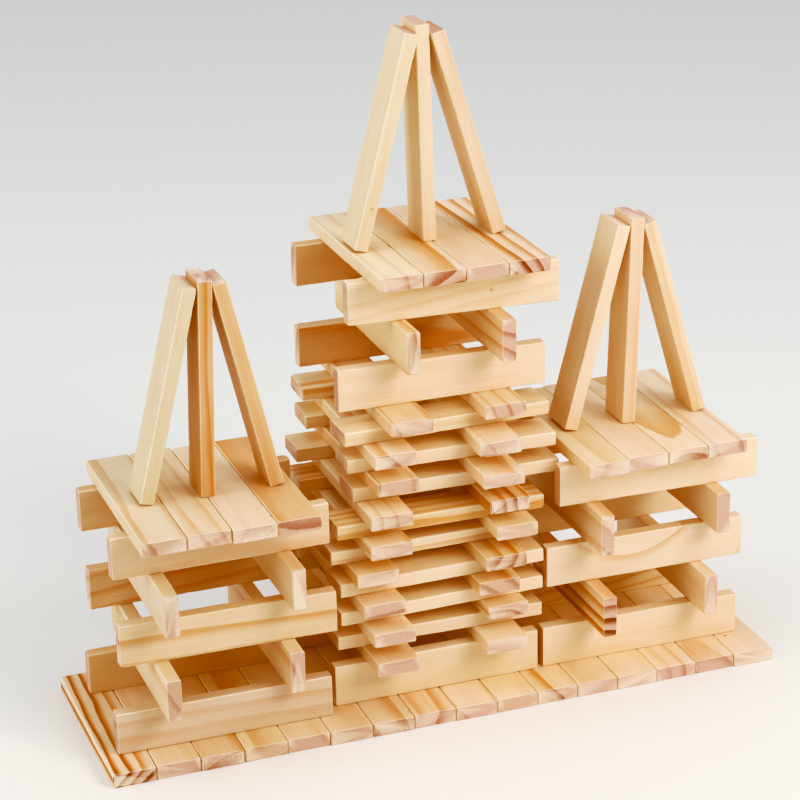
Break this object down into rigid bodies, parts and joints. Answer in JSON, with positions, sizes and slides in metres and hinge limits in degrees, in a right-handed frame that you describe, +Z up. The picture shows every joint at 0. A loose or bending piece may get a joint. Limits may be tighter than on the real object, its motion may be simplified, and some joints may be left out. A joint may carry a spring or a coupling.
{
  "type": "toy plank castle",
  "caption": "Toy castle of loose stacked pine planks: three open towers on a plank base, each topped with a leaning peak.",
  "frame": {"origin": "centre of the castle's bounding box, on the ground", "axes": "+X runs along the row of towers to the viewer's right, +Y from the front of the base to its back, +Z up"},
  "size_m": [0.387, 0.156, 0.3681],
  "materials": {
    "base_pine": "bare sanded pine, eased edges",
    "rail_pine": "bare sanded pine, eased edges",
    "deck_pine": "bare sanded pine, eased edges",
    "deep_pine": "bare sanded pine, sawn ends",
    "across_pine": "bare sanded pine, eased edges",
    "peak_pine": "bare sanded pine, eased edges"
  },
  "bodies": {
    "base": {"base_planks": "base_pine", "ground_rails": "rail_pine"},
    "left_rails_2": {"left_rails_2": "rail_pine"},
    "right_rails_2": {"right_rails_2": "rail_pine"},
    "left_rails_4": {"left_rails_4": "rail_pine"},
    "right_rails_4": {"right_rails_4": "rail_pine"},
    "left_rails_3": {"left_rails_3": "rail_pine"},
    "right_rails_3": {"right_rails_3": "rail_pine"},
    "left_rails_5": {"left_rails_5": "rail_pine"},
    "right_rails_5": {"right_rails_5": "rail_pine"},
    "upper_rails_1": {"upper_rails_1": "rail_pine"},
    "upper_rails_2": {"upper_rails_2": "rail_pine"},
    "upper_rails_3": {"upper_rails_3": "rail_pine"},
    "deep_left_1": {"deep_left_1": "deep_pine"},
    "deep_right_1": {"deep_right_1": "deep_pine"},
    "deep_left_2": {"deep_left_2": "deep_pine"},
    "deep_right_2": {"deep_right_2": "deep_pine"},
    "deep_left_3": {"deep_left_3": "deep_pine"},
    "deep_right_3": {"deep_right_3": "deep_pine"},
    "deep_left_4": {"deep_left_4": "deep_pine"},
    "deep_right_4": {"deep_right_4": "deep_pine"},
    "deep_left_5": {"deep_left_5": "deep_pine"},
    "deep_right_5": {"deep_right_5": "deep_pine"},
    "deep_left_6": {"deep_left_6": "deep_pine"},
    "deep_right_6": {"deep_right_6": "deep_pine"},
    "deep_left_7": {"deep_left_7": "deep_pine"},
    "deep_right_7": {"deep_right_7": "deep_pine"},
    "deep_left_8": {"deep_left_8": "deep_pine"},
    "deep_right_8": {"deep_right_8": "deep_pine"},
    "deep_left_9": {"deep_left_9": "deep_pine"},
    "deep_right_9": {"deep_right_9": "deep_pine"},
    "across_front_1": {"across_front_1": "across_pine"},
    "across_back_1": {"across_back_1": "across_pine"},
    "across_front_2": {"across_front_2": "across_pine"},
    "across_back_2": {"across_back_2": "across_pine"},
    "across_front_3": {"across_front_3": "across_pine"},
    "across_back_3": {"across_back_3": "across_pine"},
    "across_front_4": {"across_front_4": "across_pine"},
    "across_back_4": {"across_back_4": "across_pine"},
    "across_front_5": {"across_front_5": "across_pine"},
    "across_back_5": {"across_back_5": "across_pine"},
    "across_front_6": {"across_front_6": "across_pine"},
    "across_back_6": {"across_back_6": "across_pine"},
    "across_front_7": {"across_front_7": "across_pine"},
    "across_back_7": {"across_back_7": "across_pine"},
    "across_front_8": {"across_front_8": "across_pine"},
    "across_back_8": {"across_back_8": "across_pine"},
    "left_deck": {"left_deck": "deck_pine"},
    "middle_deck": {"middle_deck": "deck_pine"},
    "right_deck": {"right_deck": "deck_pine"},
    "left_leg_left": {"left_leg_left": "peak_pine"},
    "left_post": {"left_post": "peak_pine"},
    "left_leg_right": {"left_leg_right": "peak_pine"},
    "middle_leg_left": {"middle_leg_left": "peak_pine"},
    "middle_post": {"middle_post": "peak_pine"},
    "middle_leg_right": {"middle_leg_right": "peak_pine"},
    "right_leg_left": {"right_leg_left": "peak_pine"},
    "right_post": {"right_post": "peak_pine"},
    "right_leg_right": {"right_leg_right": "peak_pine"}
  },
  "joints": [
    {"name": "left_rails_2_slide", "type": "slide", "parent": "base", "child": "left_rails_2", "axis": [0, -1, 0], "range_m": [0, 0.125]},
    {"name": "right_rails_2_slide", "type": "slide", "parent": "base", "child": "right_rails_2", "axis": [0, -1, 0], "range_m": [0, 0.125]},
    {"name": "left_rails_4_slide", "type": "slide", "parent": "base", "child": "left_rails_4", "axis": [0, -1, 0], "range_m": [0, 0.125]},
    {"name": "right_rails_4_slide", "type": "slide", "parent": "base", "child": "right_rails_4", "axis": [0, -1, 0], "range_m": [0, 0.125]},
    {"name": "left_rails_3_slide", "type": "slide", "parent": "base", "child": "left_rails_3", "axis": [-1, 0, 0], "range_m": [0, 0.125]},
    {"name": "right_rails_3_slide", "type": "slide", "parent": "base", "child": "right_rails_3", "axis": [1, 0, 0], "range_m": [0, 0.125]},
    {"name": "left_rails_5_slide", "type": "slide", "parent": "base", "child": "left_rails_5", "axis": [-1, 0, 0], "range_m": [0, 0.125]},
    {"name": "right_rails_5_slide", "type": "slide", "parent": "base", "child": "right_rails_5", "axis": [1, 0, 0], "range_m": [0, 0.125]},
    {"name": "upper_rails_1_slide", "type": "slide", "parent": "base", "child": "upper_rails_1", "axis": [0, -1, 0], "range_m": [0, 0.11]},
    {"name": "upper_rails_2_slide", "type": "slide", "parent": "base", "child": "upper_rails_2", "axis": [0, -1, 0], "range_m": [0, 0.125]},
    {"name": "upper_rails_3_slide", "type": "slide", "parent": "base", "child": "upper_rails_3", "axis": [0, -1, 0], "range_m": [0, 0.11]},
    {"name": "deep_left_1_slide", "type": "slide", "parent": "base", "child": "deep_left_1", "axis": [0, -1, 0], "range_m": [0, 0.125]},
    {"name": "deep_right_1_slide", "type": "slide", "parent": "base", "child": "deep_right_1", "axis": [0, -1, 0], "range_m": [0, 0.125]},
    {"name": "deep_left_2_slide", "type": "slide", "parent": "base", "child": "deep_left_2", "axis": [0, -1, 0], "range_m": [0, 0.125]},
    {"name": "deep_right_2_slide", "type": "slide", "parent": "base", "child": "deep_right_2", "axis": [0, -1, 0], "range_m": [0, 0.125]},
    {"name": "deep_left_3_slide", "type": "slide", "parent": "base", "child": "deep_left_3", "axis": [0, -1, 0], "range_m": [0, 0.125]},
    {"name": "deep_right_3_slide", "type": "slide", "parent": "base", "child": "deep_right_3", "axis": [0, -1, 0], "range_m": [0, 0.125]},
    {"name": "deep_left_4_slide", "type": "slide", "parent": "base", "child": "deep_left_4", "axis": [0, -1, 0], "range_m": [0, 0.125]},
    {"name": "deep_right_4_slide", "type": "slide", "parent": "base", "child": "deep_right_4", "axis": [0, -1, 0], "range_m": [0, 0.125]},
    {"name": "deep_left_5_slide", "type": "slide", "parent": "base", "child": "deep_left_5", "axis": [0, -1, 0], "range_m": [0, 0.125]},
    {"name": "deep_right_5_slide", "type": "slide", "parent": "base", "child": "deep_right_5", "axis": [0, -1, 0], "range_m": [0, 0.125]},
    {"name": "deep_left_6_slide", "type": "slide", "parent": "base", "child": "deep_left_6", "axis": [0, -1, 0], "range_m": [0, 0.125]},
    {"name": "deep_right_6_slide", "type": "slide", "parent": "base", "child": "deep_right_6", "axis": [0, -1, 0], "range_m": [0, 0.125]},
    {"name": "deep_left_7_slide", "type": "slide", "parent": "base", "child": "deep_left_7", "axis": [0, -1, 0], "range_m": [0, 0.125]},
    {"name": "deep_right_7_slide", "type": "slide", "parent": "base", "child": "deep_right_7", "axis": [0, -1, 0], "range_m": [0, 0.125]},
    {"name": "deep_left_8_slide", "type": "slide", "parent": "base", "child": "deep_left_8", "axis": [0, -1, 0], "range_m": [0, 0.125]},
    {"name": "deep_right_8_slide", "type": "slide", "parent": "base", "child": "deep_right_8", "axis": [0, -1, 0], "range_m": [0, 0.125]},
    {"name": "deep_left_9_slide", "type": "slide", "parent": "base", "child": "deep_left_9", "axis": [0, -1, 0], "range_m": [0, 0.125]},
    {"name": "deep_right_9_slide", "type": "slide", "parent": "base", "child": "deep_right_9", "axis": [0, -1, 0], "range_m": [0, 0.125]},
    {"name": "across_front_1_slide", "type": "slide", "parent": "base", "child": "across_front_1", "axis": [0, -1, 0], "range_m": [0, 0.07]},
    {"name": "across_back_1_slide", "type": "slide", "parent": "base", "child": "across_back_1", "axis": [0, 1, 0], "range_m": [0, 0.07]},
    {"name": "across_front_2_slide", "type": "slide", "parent": "base", "child": "across_front_2", "axis": [0, -1, 0], "range_m": [0, 0.07]},
    {"name": "across_back_2_slide", "type": "slide", "parent": "base", "child": "across_back_2", "axis": [0, 1, 0], "range_m": [0, 0.07]},
    {"name": "across_front_3_slide", "type": "slide", "parent": "base", "child": "across_front_3", "axis": [0, -1, 0], "range_m": [0, 0.07]},
    {"name": "across_back_3_slide", "type": "slide", "parent": "base", "child": "across_back_3", "axis": [0, 1, 0], "range_m": [0, 0.07]},
    {"name": "across_front_4_slide", "type": "slide", "parent": "base", "child": "across_front_4", "axis": [0, -1, 0], "range_m": [0, 0.07]},
    {"name": "across_back_4_slide", "type": "slide", "parent": "base", "child": "across_back_4", "axis": [0, 1, 0], "range_m": [0, 0.07]},
    {"name": "across_front_5_slide", "type": "slide", "parent": "base", "child": "across_front_5", "axis": [0, -1, 0], "range_m": [0, 0.07]},
    {"name": "across_back_5_slide", "type": "slide", "parent": "base", "child": "across_back_5", "axis": [0, 1, 0], "range_m": [0, 0.07]},
    {"name": "across_front_6_slide", "type": "slide", "parent": "base", "child": "across_front_6", "axis": [0, 1, 0], "range_m": [-0.004, 0.034]},
    {"name": "across_back_6_slide", "type": "slide", "parent": "base", "child": "across_back_6", "axis": [0, 1, 0], "range_m": [0, 0.07]},
    {"name": "across_front_7_slide", "type": "slide", "parent": "base", "child": "across_front_7", "axis": [0, -1, 0], "range_m": [0, 0.07]},
    {"name": "across_back_7_slide", "type": "slide", "parent": "base", "child": "across_back_7", "axis": [0, 1, 0], "range_m": [0, 0.07]},
    {"name": "across_front_8_slide", "type": "slide", "parent": "base", "child": "across_front_8", "axis": [0, -1, 0], "range_m": [0, 0.07]},
    {"name": "across_back_8_slide", "type": "slide", "parent": "base", "child": "across_back_8", "axis": [0, 1, 0], "range_m": [0, 0.07]},
    {"name": "left_deck_slide", "type": "slide", "parent": "base", "child": "left_deck", "axis": [0, 0, 1], "range_m": [0, 0.05]},
    {"name": "middle_deck_slide", "type": "slide", "parent": "base", "child": "middle_deck", "axis": [0, 0, 1], "range_m": [0, 0.05]},
    {"name": "right_deck_slide", "type": "slide", "parent": "base", "child": "right_deck", "axis": [0, 0, 1], "range_m": [0, 0.05]},
    {"name": "left_leg_left_tip", "type": "hinge", "parent": "left_deck", "child": "left_leg_left", "pos_m": [-0.15159, -0.019, 0.136], "axis": [0, 1, 0], "range_deg": [-14.2, 0]},
    {"name": "left_post_lift", "type": "slide", "parent": "left_deck", "child": "left_post", "axis": [0.0332, 0, 0.9995], "range_m": [0, 0.13]},
    {"name": "left_leg_right_tip", "type": "hinge", "parent": "left_deck", "child": "left_leg_right", "pos_m": [-0.08635, -0.02, 0.136], "axis": [0, 1, 0], "range_deg": [0, 12.9]},
    {"name": "middle_leg_left_tip", "type": "hinge", "parent": "middle_deck", "child": "middle_leg_left", "pos_m": [-0.01714, 0.015, 0.248], "axis": [0, 1, 0], "range_deg": [-15.2, 0]},
    {"name": "middle_post_lift", "type": "slide", "parent": "middle_deck", "child": "middle_post", "axis": [-0.0192, 0, 0.9998], "range_m": [0, 0.13]},
    {"name": "middle_leg_right_tip", "type": "hinge", "parent": "middle_deck", "child": "middle_leg_right", "pos_m": [0.05774, 0.0175, 0.248], "axis": [0, 1, 0], "range_deg": [0, 16.7]},
    {"name": "right_leg_left_tip", "type": "hinge", "parent": "right_deck", "child": "right_leg_left", "pos_m": [0.09518, -0.0105, 0.136], "axis": [0, 1, 0], "range_deg": [-15.2, 0]},
    {"name": "right_post_lift", "type": "slide", "parent": "right_deck", "child": "right_post", "axis": [0.0366, 0, 0.9993], "range_m": [0, 0.13]},
    {"name": "right_leg_right_tip", "type": "hinge", "parent": "right_deck", "child": "right_leg_right", "pos_m": [0.16825, -0.0105, 0.136], "axis": [0, 1, 0], "range_deg": [0, 15.8]}
  ]
}
